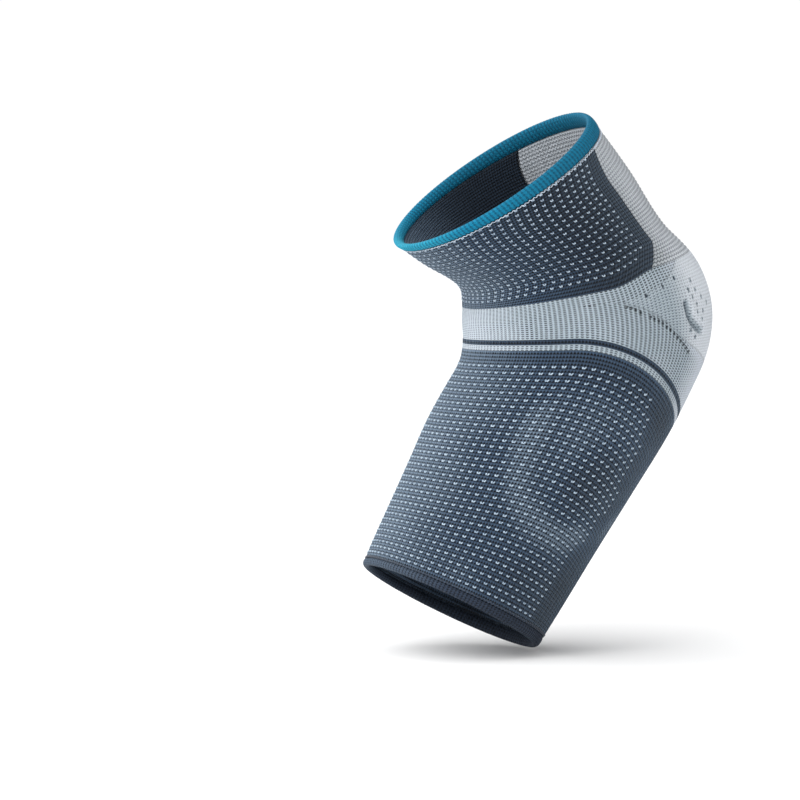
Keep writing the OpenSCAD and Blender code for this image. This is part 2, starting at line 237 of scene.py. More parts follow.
def section(along):
    """The cross-section at a place, on a smooth curve through the stations."""
    s = np.asarray(along, float)
    k = np.clip(np.searchsorted(STATIONS[:, 0], s) - 1, 0, len(STATIONS) - 2)
    low, high = STATIONS[k], STATIONS[k + 1]
    span = (high - low)[..., :1]
    t = (s[..., None] - low[..., :1]) / span
    t2, t3 = t * t, t * t * t
    return (
        (2 * t3 - 3 * t2 + 1) * low + (t3 - 2 * t2 + t) * span * SLOPES[k]
        + (3 * t2 - 2 * t3) * high + (t3 - t2) * span * SLOPES[k + 1]
    )


def skin(along, round_, out=0.0):
    """The point in mm at a place on the sleeve, `out` mm above its outside."""
    s, a, out = np.broadcast_arrays(*(np.asarray(x, float) for x in (along, round_, out)))
    cut, centre, turn = section(s), middle(s), np.radians(a)
    tilt = np.radians(cut[..., 1])
    deep = (cut[..., 2] / 2 + out) * np.cos(turn)
    wide = (cut[..., 3] + out) * np.sin(turn)
    narrow = 1 - cut[..., 4] * ((1 - np.cos(turn)) / 2) ** 2
    return np.stack([
        centre[..., 0] - deep * np.cos(tilt),
        -wide * narrow,
        centre[..., 1] - deep * np.sin(tilt),
    ], -1)


elbow_depth = float(np.linalg.norm(skin(0, 0) - skin(0, 180)))
print("the sleeve is", round(elbow_depth), "mm deep at the elbow")

# %% [markdown]
# The coloured zones meet along curved lines. Each line is a height on the map that changes with
# the angle: the stripes dip behind the elbow, and the wedge flares towards the top.

# %% Lines between the zones
TOP_WELT = 5.5
LOWER_WELT = 4.0
STRIPE = 2.5
KNIT = 2.0
WELT_LINE = UPPER_LENGTH - TOP_WELT
HEM_LINE = LOWER_WELT - FOREARM_LENGTH
CUP_POINT = 85.0
CUP_CORNER = 127.0
WEDGE_HALF = 121.0


def from_front(a):
    """Degrees from the crook, the same on both sides of the arm."""
    return 180 - np.abs(180 - np.mod(a, 360))


def panel_line(a):
    """Where the upper panel ends and the band begins."""
    return 12.5 + 4 * smooth((from_front(a) - 80) / 30)


def stripe_line(a):
    """Where the band ends and the dark stripe begins."""
    return -7.5 - 37 * smooth((from_front(a) - 60) / 115)


def gore_line(a):
    """Where the rows of the cup begin, between those two lines."""
    t = np.clip((from_front(a) - CUP_POINT) / 43, 0, 1)
    return mid(panel_line(a), stripe_line(a), 0.28 + 0.36 * np.sin(t * math.pi / 2))


def wedge_edge(t):
    """The panel's edge against the wedge, in degrees, from the welt (0) to the band (1)."""
    flare = 8 * np.maximum(0, 1 - t / 0.3) ** 2
    corner = 14 * np.clip((t - 0.8) / 0.2, 0, 1)
    return WEDGE_HALF + flare - corner


def in_cup(s, a):
    """True where a place belongs to the elbow cup."""
    depth = (panel_line(a) - s) / (panel_line(a) - gore_line(a))
    edge = mid(CUP_POINT, CUP_CORNER, np.clip(1 - depth, 0, 1) ** 1.7)
    return (depth <= 1) & (from_front(a) >= edge)


print("the stripes dip", round(float(stripe_line(0) - stripe_line(180))), "mm behind the elbow")

# %% [markdown]
# ## Relief
#
# The knit isn't smooth. Its columns of stitches, the wales, stand up as fine ribs, and the pads
# underneath press a hook-shaped ridge into the fabric. These are heights above the sleeve's
# outside, so that they are real shape in every zone, and not only shading.

# %% Ribs, pad ridge and crease
WALES = 154
RIB = 0.10
PAD_MIDDLE, PAD_ROUND = -68.0, 100.0
RIDGE = [(60, -43), (60, -60), (63, -70), (68, -80), (77, -87), (90, -93), (100, -95),
         (120, -93), (132, -90), (143, -85)]
CREASE = [(122, 1.5), (123, -2), (126, -5), (130, -6.7), (135, -8)]
LIP = [(round_ + 3.5, along + 2.5) for round_, along in CREASE]
RIDGE_HIGH, BULGE_HIGH, CREASE_DEEP, LIP_HIGH = 1.1, 0.5, 1.9, 0.7
MM_PER_DEGREE = 0.77


def distance_to(path, s, a):
    """Distance in mm, on the unrolled sleeve, from places to a path of (round, along) points."""
    x, y = from_front(a) * MM_PER_DEGREE, np.asarray(s, float)
    nearest = np.full(np.shape(x), 1e9)
    for (a0, s0), (a1, s1) in zip(path, path[1:]):
        x0, x1 = a0 * MM_PER_DEGREE, a1 * MM_PER_DEGREE
        dx, dy = x1 - x0, s1 - s0
        t = np.clip(((x - x0) * dx + (y - s0) * dy) / (dx * dx + dy * dy), 0, 1)
        nearest = np.minimum(nearest, np.hypot(x - x0 - t * dx, y - s0 - t * dy))
    return nearest


def relief(s, a, wale):
    """Height of the knit above the sleeve's plain outside, in mm."""
    angle = from_front(a)
    ridge = RIDGE_HIGH * smooth(1 - distance_to(RIDGE, s, a) / 9) * smooth((145 - angle) / 40)
    from_pad = np.hypot((angle - PAD_ROUND) / 42, (s - PAD_MIDDLE) / 32)
    bulge = BULGE_HIGH * smooth(1 - from_pad ** 2)
    crease = CREASE_DEEP * smooth(1 - distance_to(CREASE, s, a) / 2.4)
    lip = LIP_HIGH * smooth(1 - distance_to(LIP, s, a) / 3)
    return RIB * np.cos(2 * math.pi * wale) + ridge + bulge - crease + lip


print("the ridge over each pad stands", RIDGE_HIGH, "mm high")


# %% Painted light and shade on the yarn
def tone(s, a):
    """Painted light and shade on the yarn, lighter above 0 and deeper below 0: a painted highlight
    along the pad's ridge, a painted shadow in the crease, and painted light on the front, which
    faces the light, and towards the point of the elbow.
    """
    angle = from_front(a)
    ridge = 0.28 * smooth(1 - distance_to(RIDGE, s, a) / 9)
    crease = 1.1 * smooth(1 - distance_to(CREASE, s, a) / 2.2)
    front = 0.30 * smooth((52 - angle) / 52)
    below_gore = smooth((gore_line(a) - s) / 4)
    cup = 0.65 * smooth((angle - 108 - 10 * below_gore) / 28)
    return ridge - crease + front + cup


def navy_painted_light_and_shade(s, a):
    """Painted shade on the navy, on top of the painted light of tone: deeper on the upper panel
    towards its sides, under the stripes, inside the pad's hook, near the hem behind and all round
    the back, and a little lighter on the forearm's sides.
    """
    angle = from_front(a)
    upper = 0.6 * smooth((angle - 35) / 60) * (s > 0)
    from_stripes = np.abs(s - stripe_line(a) + 13) / 12
    under_stripes = 0.3 * smooth(1 - from_stripes) * smooth((angle - 40) / 40) * (s < 0)
    in_hook = 0.45 * smooth(1.3 - np.hypot((angle - 103) / 18, (s + 72) / 17))
    hem = 0.35 * smooth((angle - 60) / 40) * smooth((-98 - s) / 15)
    side = 0.08 * smooth((angle - 50) / 40) * (s < 0)
    behind = 0.65 * smooth((angle - 108) / 28)
    return tone(s, a) + side - upper - under_stripes - in_hook - hem - behind


def welt_painted_light_and_shade(a):
    """Painted light on the welts over the crook, which faces the light, and painted shade behind.
    """
    angle = from_front(a)
    return 0.4 * smooth((60 - angle) / 60) - 0.35 * smooth((angle - 45) / 60)


def stripe_tone(s, a):
    """The dark stripe is knitted tighter than the rest of the navy."""
    return np.full(np.shape(a), -0.4)


print("yarn at the crook is lighter by", float(tone(0, 0)))

# %% [markdown]
# ## Knitting a zone
#
# A zone starts as a flat grid, like a piece of knit on a table, with so many wales across and so
# many courses up. Each point of it is given its place on the map, and is then wrapped onto the
# arm. A second layer inside gives the knit its 2 mm, welded to the first round the edge, so each
# zone is a closed shape. A Solidify modifier could do that too, but on fine ribs its walls cross
# each other, while the map knows where inside is. Two UV maps go with it: `knit` counts stitches,
# and the materials draw their yarn with it, and `OFBake` is a plain layout without overlaps.

# %% Mesh helpers
def numbers(items, name, kind=float, width=1):
    """One property of all vertices, edges or loops as an array."""
    values = np.empty(len(items) * width, kind)
    items.foreach_get(name, values)
    return values.reshape(-1, width) if width > 1 else values


def keep_values(mesh, name, values):
    """Stores a number at each vertex under a name."""
    layer = mesh.attributes.get(name) or mesh.attributes.new(name, "FLOAT", "POINT")
    layer.data.foreach_set("value", np.asarray(values, np.float32))


def kept_values(mesh, name):
    return numbers(mesh.attributes[name].data, "value", np.float32).astype(float)


def set_points(mesh, points_mm):
    """Moves all vertices to places given in mm."""
    mesh.vertices.foreach_set("co", (points_mm * MM).astype(np.float32).ravel())
    mesh.update()


def set_uv(mesh, name, u, v):
    """Gives each face corner the UV of its vertex."""
    corner = numbers(mesh.loops, "vertex_index", np.int32)
    layer = mesh.uv_layers.get(name) or mesh.uv_layers.new(name=name)
    layer.data.foreach_set("uv", np.stack([u[corner], v[corner]], -1).astype(np.float32).ravel())


def only(*objects):
    """Selects these objects, and makes the last one active."""
    bpy.ops.object.select_all(action="DESELECT")
    for o in objects:
        o.select_set(True)
    bpy.context.view_layer.objects.active = objects[-1]


def flat_grid(name, columns, rows):
    """A flat grid without a UV map, and where its points lie on it, from -1 to 1 both ways."""
    bpy.ops.mesh.primitive_grid_add(x_subdivisions=columns, y_subdivisions=rows, size=2)
    piece = bpy.context.object
    piece.name = name
    while piece.data.uv_layers:
        piece.data.uv_layers.remove(piece.data.uv_layers[0])
    x, y, _ = numbers(piece.data.vertices, "co", np.float32, 3).astype(float).T
    return piece, x, y


def copy_of(piece):
    only(piece)
    bpy.ops.object.duplicate()
    return bpy.context.object


def join(piece, other):
    """Joins the other object into the piece."""
    only(other, piece)
    bpy.ops.object.join()


def edit_all(piece, operator, **settings):
    """Runs one edit-mode operator on the whole mesh."""
    only(piece)
    bpy.ops.object.mode_set(mode="EDIT")
    bpy.ops.mesh.select_all(action="SELECT")
    operator(**settings)
    bpy.ops.object.mode_set(mode="OBJECT")


def merge_doubles(piece):
    edit_all(piece, bpy.ops.mesh.remove_doubles, threshold=0.002 * MM)


def close_and_face(piece, inside=False):
    """Merges doubles and turns every face outwards, or inwards for the wall of a hollow."""
    merge_doubles(piece)
    edit_all(piece, bpy.ops.mesh.normals_make_consistent, inside=inside)


def share_layout(outer, inner, share=0.8):
    """Squeezes the OFBake layouts of two layers into one square. share is the outer layer's."""
    for piece, low, height in ((outer, 0, share), (inner, share + 0.02, 0.98 - share)):
        layer = piece.data.uv_layers["OFBake"].data
        uv = numbers(layer, "uv", np.float32, 2)
        uv[:, 1] = low + height * uv[:, 1]
        layer.foreach_set("uv", uv.ravel())


# %% Flat knit, wrapping and lining
def flat_knit(name, columns, rows, place, shade=tone):
    """A flat grid whose points know their place. place(u, v) gives along, round, wale, course."""
    piece, x, y = flat_grid(name, columns, rows)
    u, v = (x + 1) / 2, (1 - y) / 2
    along, round_, wale, course = place(u, v)
    for key, values in (("along", along), ("round", round_), ("wale", wale),
                        ("tone", shade(along, round_))):
        keep_values(piece.data, key, values)
    set_uv(piece.data, "knit", wale, course)
    set_uv(piece.data, "OFBake", u, v)
    return piece


def face_values(piece, key):
    """A kept number at the middle of each face."""
    mesh = piece.data
    corner = numbers(mesh.loops, "vertex_index", np.int32)
    start = numbers(mesh.polygons, "loop_start", np.int32)
    total = numbers(mesh.polygons, "loop_total", np.int32)
    return np.add.reduceat(kept_values(mesh, key)[corner], start) / total


def wrap(piece, height=relief):
    """Puts the flat knit onto the arm, closes its back seam and turns its faces outwards."""
    mesh = piece.data
    s, a, wale = (kept_values(mesh, key) for key in ("along", "round", "wale"))
    out = height(s, a, wale)
    keep_values(mesh, "relief", out)
    set_points(mesh, skin(s, a, out))
    merge_doubles(piece)
    normal = numbers(mesh.polygons, "normal", np.float32, 3)
    centre = numbers(mesh.polygons, "center", np.float32, 3) / MM
    centre[:, [0, 2]] -= middle(face_values(piece, "along"))
    if np.mean(np.sum(normal * centre, 1)) < 0:
        mesh.flip_normals()


def add_lining(piece, thickness=KNIT):
    """A second layer inside the first, welded to it all round every edge."""
    mesh = piece.data
    faces_at = np.bincount(numbers(mesh.loops, "edge_index", np.int32), minlength=len(mesh.edges))
    ends = numbers(mesh.edges, "vertices", np.int32, 2)[faces_at == 1]
    rim = np.zeros(len(mesh.vertices), bool)
    rim[ends.ravel()] = True
    lining = copy_of(piece)
    s, a, out = (kept_values(lining.data, key) for key in ("along", "round", "relief"))
    set_points(lining.data, skin(s, a, np.where(rim, out, -thickness)))
    lining.data.flip_normals()
    share_layout(piece, lining)
    join(piece, lining)
    merge_doubles(piece)


print("helpers for flat knit ready")

# %% [markdown]


def finish_piece(piece, material, slot, *nodes):
    """Smooth shading, its material, and hiding the CAD nodes it stands for."""
    only(piece)
    bpy.ops.object.shade_smooth_by_angle(angle=math.radians(50))
    piece.data.materials.clear()
    piece.data.materials.append(material)
    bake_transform(piece)
    if nodes:
        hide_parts(*nodes)
    triangles = sum(len(p.vertices) - 2 for p in piece.data.polygons)
    print(piece.name, "has", triangles, "triangles")


# %% [markdown]
# ## Yarn
#
# All the knits share one drawing. A stitch is a V: its two legs lean together, and at the border
# between two wales, where four legs meet, a small pit shows the dark inside. The drawing counts
# stitches in the `knit` map, so it stretches with the fabric as a real one does. It could be an
# image, but maths stays sharp at every size and has no seams.

# %% Node helpers
def linear(r, g, b):
    """A colour given as 0 to 255 on a screen, as the linear values that a shader wants."""
    return tuple(((c / 255 + 0.055) / 1.055) ** 2.4 if c > 10 else c / 3294.6
                 for c in (r, g, b)) + (1.0,)


def new_material(name):
    material = bpy.data.materials.new(name)
    material.use_nodes = True
    tree = material.node_tree
    return material, tree, tree.nodes["Principled BSDF"]


def plug(tree, value, socket):
    """Links a socket to a socket, or sets a number on it."""
    if isinstance(value, bpy.types.NodeSocket):
        tree.links.new(value, socket)
    else:
        socket.default_value = value


def maths(tree, operation, *values, clamp=False):
    """One Math node. Values are sockets or numbers."""
    node = tree.nodes.new("ShaderNodeMath")
    node.operation = operation
    node.use_clamp = clamp
    for value, socket in zip(values, node.inputs):
        plug(tree, value, socket)
    return node.outputs[0]


def step(tree, value, low, high):
    """A soft step from 0 at low to 1 at high."""
    node = tree.nodes.new("ShaderNodeMapRange")
    node.interpolation_type = "SMOOTHSTEP"
    plug(tree, value, node.inputs["Value"])
    plug(tree, low, node.inputs["From Min"])
    plug(tree, high, node.inputs["From Max"])
    return node.outputs["Result"]


def blend_colours(tree, factor, a, b):
    node = tree.nodes.new("ShaderNodeMix")
    node.data_type = "RGBA"
    plug(tree, factor, node.inputs["Factor"])
    plug(tree, a, node.inputs["A"])
    plug(tree, b, node.inputs["B"])
    return node.outputs["Result"]


def noise(tree, vector, scale, detail=2.0):
    node = tree.nodes.new("ShaderNodeTexNoise")
    plug(tree, vector, node.inputs["Vector"])
    node.inputs["Scale"].default_value = scale
    node.inputs["Detail"].default_value = detail
    return node.outputs["Fac"]


def object_place(tree):
    return tree.nodes.new("ShaderNodeTexCoord").outputs["Object"]


def bump(tree, height, shader, distance, strength=0.8):
    node = tree.nodes.new("ShaderNodeBump")
    node.inputs["Distance"].default_value = distance
    node.inputs["Strength"].default_value = strength
    plug(tree, height, node.inputs["Height"])
    tree.links.new(node.outputs["Normal"], shader.inputs["Normal"])


# %% The knit drawing
def knit_material(name, yarn, deep, light, pit=1.0, pit_size=0.34, rib=0.5, rows=0.4,
                  relief_mm=0.35, sheen=0.5, every=1.0, opening=(0.85, 0.4), even=0.0,
                  columns=1.0):
    """Yarn with V stitches. pit darkens the holes between wales, rib and rows shade the ribs, and
    every and columns set how many V are drawn for a course and a wale. The tone holds painted light
    and shade, and the dark stripe's own deeper colour: above 0 the yarn is lighter, below 0 deeper,
    and even says how far the holes close where it is lighter."""
    material, tree, shader = new_material(name)
    layer = tree.nodes.new("ShaderNodeUVMap")
    layer.uv_map = "knit"
    split = tree.nodes.new("ShaderNodeSeparateXYZ")
    tree.links.new(layer.outputs["UV"], split.inputs["Vector"])
    wale = maths(tree, "FRACT", maths(tree, "MULTIPLY_ADD", split.outputs["X"], columns, 0.5))
    across = maths(tree, "ABSOLUTE", maths(tree, "SUBTRACT", wale, 0.5))      # 0 crest, 0.5 border
    lean = maths(tree, "MULTIPLY_ADD", across, 0.9, split.outputs["Y"])
    course = maths(tree, "FRACT", maths(tree, "MULTIPLY", lean, every))
    leg = maths(tree, "SINE", maths(tree, "MULTIPLY", course, math.pi))       # 1 on the yarn
    border = step(tree, across, 0.5 - pit_size, 0.5 - pit_size * 0.35)
    gap = step(tree, leg, *opening)
    hole = maths(tree, "MULTIPLY", border, gap)
    spine = step(tree, across, 0.10, 0.0)
    place = object_place(tree)
    fuzz = noise(tree, place, 900.0)
    patch = noise(tree, place, 45.0, 3.0)
    shade = maths(tree, "ADD", maths(tree, "MULTIPLY", border, rib * 0.5),
                  maths(tree, "MULTIPLY", gap, rows * 0.5), clamp=True)
    shade = maths(tree, "MULTIPLY_ADD", maths(tree, "SUBTRACT", fuzz, 0.5), 0.5, shade, clamp=True)
    # the tone attribute carries painted light and shade: lighter above 0, deeper below 0
    painted_light_tone = tree.nodes.new("ShaderNodeAttribute")
    painted_light_tone.attribute_name = "tone"
    lighter = maths(tree, "MULTIPLY_ADD", maths(tree, "SUBTRACT", patch, 0.5), 0.35,
                    painted_light_tone.outputs["Fac"], clamp=True)
    deeper = maths(tree, "MULTIPLY", painted_light_tone.outputs["Fac"], -1.0, clamp=True)
    colour = blend_colours(tree, lighter, yarn, light)
    colour = blend_colours(tree, shade, colour, deep)
    colour = blend_colours(tree, maths(tree, "MULTIPLY", hole, pit, clamp=True), colour, deep)
    colour = blend_colours(tree, maths(tree, "MULTIPLY", lighter, even), colour, light)
    colour = blend_colours(tree, deeper, colour, deep)
    tree.links.new(colour, shader.inputs["Base Color"])
    rough = maths(tree, "MULTIPLY_ADD", fuzz, 0.2, 0.68)
    tree.links.new(rough, shader.inputs["Roughness"])
    shader.inputs["Sheen Weight"].default_value = sheen
    shader.inputs["Sheen Roughness"].default_value = 0.25
    shader.inputs["Sheen Tint"].default_value = light
    shader.inputs["Specular IOR Level"].default_value = 0.25
    edge = maths(tree, "POWER", maths(tree, "MULTIPLY", across, 2.0), 3.0)
    dome = maths(tree, "SUBTRACT", 1.0, edge)
    height = maths(tree, "MULTIPLY", dome, maths(tree, "MULTIPLY_ADD", leg, 0.6, 0.4))
    height = maths(tree, "MULTIPLY_ADD", spine, -0.25, height)
    height = maths(tree, "MULTIPLY_ADD", fuzz, 0.12, height)
    bump(tree, height, shader, relief_mm * MM)
    return material


navy_knit = knit_material(
    "navy_knit", linear(62, 82, 105), linear(2, 4, 9), linear(160, 180, 198), pit=1.0,
    pit_size=0.48, rib=0.6, rows=0.7, every=0.5, relief_mm=0.5, sheen=0.45, columns=1.5,
    opening=(0.9, 0.45))
band_knit = knit_material(
    "pale_band_knit", linear(158, 171, 180), linear(2, 6, 10), linear(198, 205, 215),
    pit=1.0, pit_size=0.44, rib=0.1, rows=0.1, relief_mm=0.2, sheen=0.1, opening=(0.85, 0.5),
    even=0.8)
cup_knit = knit_material(
    "pale_mesh_knit", linear(162, 174, 182), linear(50, 62, 74), linear(216, 221, 228),
    pit=0.8, pit_size=0.3, rib=0.05, rows=0.6, sheen=0.1, even=0.8)
wedge_knit = knit_material(
    "pale_wedge_knit", linear(164, 170, 174), linear(50, 58, 64), linear(216, 221, 228),
    pit=0.3, pit_size=0.2, rib=0.1, rows=1.5, sheen=0.1, even=0.3)
hem_knit = knit_material(
    "navy_hem_knit", linear(46, 58, 76), linear(6, 9, 15), linear(110, 128, 146), pit=0.8,
    rib=0.6, rows=0.6, sheen=0.2)
teal_knit = knit_material(
    "teal_knit", linear(0, 121, 157), linear(0, 48, 70), linear(60, 190, 212),
    pit=0.4, rib=0.7, rows=0.1, sheen=0.05)
print("knit materials ready")


# %% Thread, elastic, gel and lining
def thread_material(name, yarn, deep, twist=1400.0):
    """Twisted sewing thread: fine fibres over an even colour."""
    material, tree, shader = new_material(name)
    fibres = noise(tree, object_place(tree), twist, 3.0)
    tree.links.new(blend_colours(tree, step(tree, fibres, 0.62, 0.35), yarn, deep),
                   shader.inputs["Base Color"])
    shader.inputs["Roughness"].default_value = 0.7
    shader.inputs["Sheen Weight"].default_value = 0.3
    bump(tree, fibres, shader, 0.12 * MM)
    return material


pale_thread = thread_material("pale_thread", linear(214, 224, 234), linear(150, 165, 185))
upper_dot_thread = thread_material(
    "upper_dot_thread", linear(174, 190, 205), linear(124, 142, 162))
dot_thread = thread_material("dot_thread", linear(172, 190, 206), linear(126, 146, 166))
navy_thread = thread_material("navy_thread", linear(48, 60, 80), linear(22, 28, 40))
elastic_material = thread_material(
    "elastic_rubber", linear(228, 226, 218), linear(180, 176, 165), twist=700.0)


def gel_material():
    """Soft clear-blue gel with a dimpled skin."""
    material, tree, shader = new_material("gel")
    cells = tree.nodes.new("ShaderNodeTexVoronoi")
    plug(tree, object_place(tree), cells.inputs["Vector"])
    cells.inputs["Scale"].default_value = 260.0
    cloud = noise(tree, object_place(tree), 60.0)
    tree.links.new(blend_colours(tree, cloud, linear(96, 150, 178), linear(140, 190, 208)),
                   shader.inputs["Base Color"])
    shader.inputs["Roughness"].default_value = 0.32
    shader.inputs["Subsurface Weight"].default_value = 0.25
    shader.inputs["Subsurface Scale"].default_value = 0.003
    bump(tree, cells.outputs["Distance"], shader, 0.4 * MM, 0.5)
    return material


gel = gel_material()
lining_knit = knit_material(
    "navy_lining", linear(52, 62, 80), linear(26, 32, 44), linear(96, 108, 126), pit=0.4, rib=0.3)
print("thread, elastic, gel and lining materials ready")

# %% [markdown]
# ## The upper panel
#
# The navy panel wraps the front and the sides of the upper arm. Its rows of stitches run level
# with the welt at the top and with the band at the bottom, and sag towards the crook between
# them, because the fabric is pushed together there. The back is left open for the wedge.

# %% Upper panel
UPPER_WALES = 104
UPPER_COURSES = 73
WALE_SPREAD = 0.025
CROOK_SAG = 0.06
SIDE_EVEN, SIDE_CROWDED = 0.7577, 0.2318


def upper_place(u, v):
    """Wales spread a little in the crook and courses sag there, and crowd to the welt beside it."""
    side = 2 * u - 1
    share = side + WALE_SPREAD * np.sin(math.pi * side)
    at_side = smooth((np.abs(share) * WEDGE_HALF - 10) / 60)
    at_crook = v + CROOK_SAG * np.sin(math.pi * v)
    beside = (SIDE_EVEN * v + SIDE_CROWDED * v * v) / (SIDE_EVEN + SIDE_CROWDED)
    down = mid(at_crook, beside, at_side)
    a = share * wedge_edge(down)
    s = mid(WELT_LINE, panel_line(a), down)
    return s, a, side * UPPER_WALES / 2, v * UPPER_COURSES


upper_panel = flat_knit("upper_panel_knit", UPPER_WALES * 4, 56, upper_place, navy_painted_light_and_shade)
wrap(upper_panel)
add_lining(upper_panel)
finish_piece(upper_panel, navy_knit, "navy_dotted_knit", "upper_panel")

# %% [markdown]
# ## The back wedge
#
# Behind the upper arm the knit is pale and open, with rows that stand up as ribs, so that it
# stretches over the back of the elbow. Its two edges are the navy panel's edges, so both use the
# same line.

# %% Back wedge
WEDGE_RIBS = 36
WEDGE_WALES = 52
WEDGE_RIB_HIGH = 0.22


def wedge_place(u, v):
    edge = wedge_edge(v)
    a = mid(edge, 360 - edge, u)
    return mid(WELT_LINE, panel_line(a), v), a, (u - 0.5) * WEDGE_WALES, v * WEDGE_RIBS


def wedge_relief(s, a, wale):
    """Ribs that run across the wedge, and fade out at its two ends."""
    rib = (WELT_LINE - s) / (WELT_LINE - panel_line(a)) * WEDGE_RIBS
    fade = smooth(np.minimum(rib, WEDGE_RIBS - rib) / 1.5)
    return WEDGE_RIB_HIGH * np.cos(2 * math.pi * rib) * fade


back_wedge = flat_knit("back_wedge_knit", WEDGE_WALES * 2, WEDGE_RIBS * 5, wedge_place)
wrap(back_wedge, wedge_relief)
add_lining(back_wedge)
finish_piece(back_wedge, wedge_knit, "pale_rib_knit", "back_wedge")

# %% [markdown]
# ## The elbow band and cup
#
# A pale band crosses the crook and widens round the sides. Where it meets the point of the elbow,
# extra rows are knitted in, a gore, which makes room for the joint like the heel of a sock. A line
# of small holes shows where the gore begins. The band and the cup are one flat knit here, and the
# cup is cut out of it along its edge, so that the two fit each other exactly. The holes are faces
# taken out before the lining goes in, so that they go right through.

# %% Elbow zone
BAND_COURSES = 20
# each hole is (round, along), and the other side of the sleeve has the same
GORE_HOLES = [
    (86, 4), (88.2, 3.3), (90.3, 2.4), (92.6, 1), (97.5, -1), (99.6, -2), (102, -3), (104.2, -4),
    (106.6, -5.3), (109, -6.5), (111.5, -8.2), (114, -9.6), (116.5, -11), (119, -12.4),
    (121.5, -13.8), (124, -15.2), (108.5, 9),
]
TIP_HOLES = [
    (97.5, 7), (118, 10.8), (126, 6), (128, 3.5), (131, 8.5), (133, 5.5), (131.5, 1), (130, -1.5),
    (134, -4), (138, 3), (137.5, -1.5), (144, 1), (124, -7.5), (128.5, -10),
]


def elbow_place(u, v):
    """Courses of 1 mm, counted from the stripes below the gore and from the panel above it."""
    a = (u - 0.5) * 360
    s = mid(panel_line(a), stripe_line(a), v)
    from_panel = BAND_COURSES - (panel_line(a) - s)
    course = np.where(s < gore_line(a), s - stripe_line(a), from_panel)
    return s, a, (u - 0.5) * WALES, course


def elbow_relief(s, a, wale):
    """The band is knitted flatter than the navy, so its ribs are lower."""
    return relief(s, a, wale) - 0.6 * RIB * np.cos(2 * math.pi * wale)


elbow_band = flat_knit("elbow_band_knit", WALES * 4, 64, elbow_place)
wrap(elbow_band, elbow_relief)


# %% Holes
def take_out_faces(piece, chosen):
    """Deletes the chosen faces, and the loose points that they leave."""
    only(piece)
    bpy.ops.object.mode_set(mode="EDIT")
    bpy.ops.mesh.select_mode(type="FACE")
    bpy.ops.mesh.select_all(action="DESELECT")
    bpy.ops.object.mode_set(mode="OBJECT")
    piece.data.polygons.foreach_set("select", chosen)
    bpy.ops.object.mode_set(mode="EDIT")
    bpy.ops.mesh.delete(type="FACE")
    bpy.ops.object.mode_set(mode="OBJECT")


def off(hole_round, hole_along, a, s):
    """Distance in mm from a hole to places."""
    return np.hypot((a - hole_round) * MM_PER_DEGREE, s - hole_along)


s_face, a_face = face_values(elbow_band, "along"), face_values(elbow_band, "round")
s_point, a_point = (kept_values(elbow_band.data, key) for key in ("along", "round"))
shade = kept_values(elbow_band.data, "tone")
holes = np.zeros(len(s_face), bool)
# each set: its holes, faces taken out at each, how much painted shade darkens the rim, and how far,
# in mm
for places, faces_out, deep, reach in ((GORE_HOLES, 2, 1.8, 0.52), (TIP_HOLES, 1, 1.2, 0.65)):
    for hole_round, hole_along in places:
        for side in (-1, 1):
            nearest = np.argsort(off(side * hole_round, hole_along, a_face, s_face))
            holes[nearest[:faces_out]] = True
            rim = off(side * hole_round, hole_along, a_point, s_point)
            # painted shade round the hole, darker than the yarn itself
            shade -= deep * smooth(1.5 - rim / reach)
keep_values(elbow_band.data, "tone", np.maximum(shade, -1))
take_out_faces(elbow_band, holes)
print("faces taken out for holes:", int(holes.sum()))

# %% Cutting the cup from the band
elbow_cup = copy_of(elbow_band)
elbow_cup.name = "elbow_cup_knit"
cup_faces = in_cup(face_values(elbow_band, "along"), face_values(elbow_band, "round"))
take_out_faces(elbow_band, cup_faces)
take_out_faces(elbow_cup, ~cup_faces)
add_lining(elbow_band)
add_lining(elbow_cup)
finish_piece(elbow_band, band_knit, "pale_mesh_knit", "elbow_band")
finish_piece(elbow_cup, cup_knit, "pale_mesh_knit", "elbow_cup")

# %% [markdown]
# ## Stripes and forearm
#
# Two narrow stripes, one dark and one light, mark where the forearm begins. Below them lies the
# long navy sleeve. Its rows start parallel to the stripes and slowly become level with the hem,
# so the dots of the pattern crowd together behind.

# %% Stripes
STRIPE_COURSES = 3


def stripe(name, first, shade, material, slot, node):
    """A narrow ring of knit that begins `first` mm below the band."""
    def place(u, v):
        a = (u - 0.5) * 360
        return stripe_line(a) - first - STRIPE * v, a, (u - 0.5) * WALES, v * STRIPE_COURSES
    piece = flat_knit(name, WALES * 4, STRIPE_COURSES + 1, place, shade)
    wrap(piece)
    add_lining(piece)
    finish_piece(piece, material, slot, node)
    return piece


dark_stripe = stripe(
    "dark_stripe_knit", 0, stripe_tone, navy_knit, "navy_knit", "dark_stripe")
light_stripe = stripe(
    "light_stripe_knit", STRIPE, tone, band_knit, "pale_rib_knit", "light_stripe")

# %% Forearm sleeve
FOREARM_COURSES = 137
FOREARM_TOP = -12.5


def forearm_along(a, v):
    """Where a row lies: parallel to the stripes at the top, and to the hem at the bottom."""
    return mid(FOREARM_TOP, HEM_LINE, v) + (stripe_line(a) - stripe_line(0)) * (1 - v ** 1.5)


def forearm_place(u, v):
    a = (u - 0.5) * 360
    return forearm_along(a, v), a, (u - 0.5) * WALES, v * FOREARM_COURSES


forearm = flat_knit("forearm_knit", WALES * 4, 58, forearm_place, navy_painted_light_and_shade)
wrap(forearm)
add_lining(forearm)
finish_piece(forearm, navy_knit, "navy_dotted_knit", "forearm_sleeve")

# %% [markdown]
# ## The dots
#
# Each dot is one pale stitch that a second yarn makes every fourth row and every second wale, a
# small V of two plump legs. Painting them on would be quicker, but they stand up from the navy and
# catch the light, so one V is modelled from two low round grains and then copied to every place
# where the pattern has one.

# %% One V stitch
LEG_SIZE = (0.34, 0.58, 0.20, 1)
LEG_LEAN, LEG_SHIFT = 0.5, 0.38


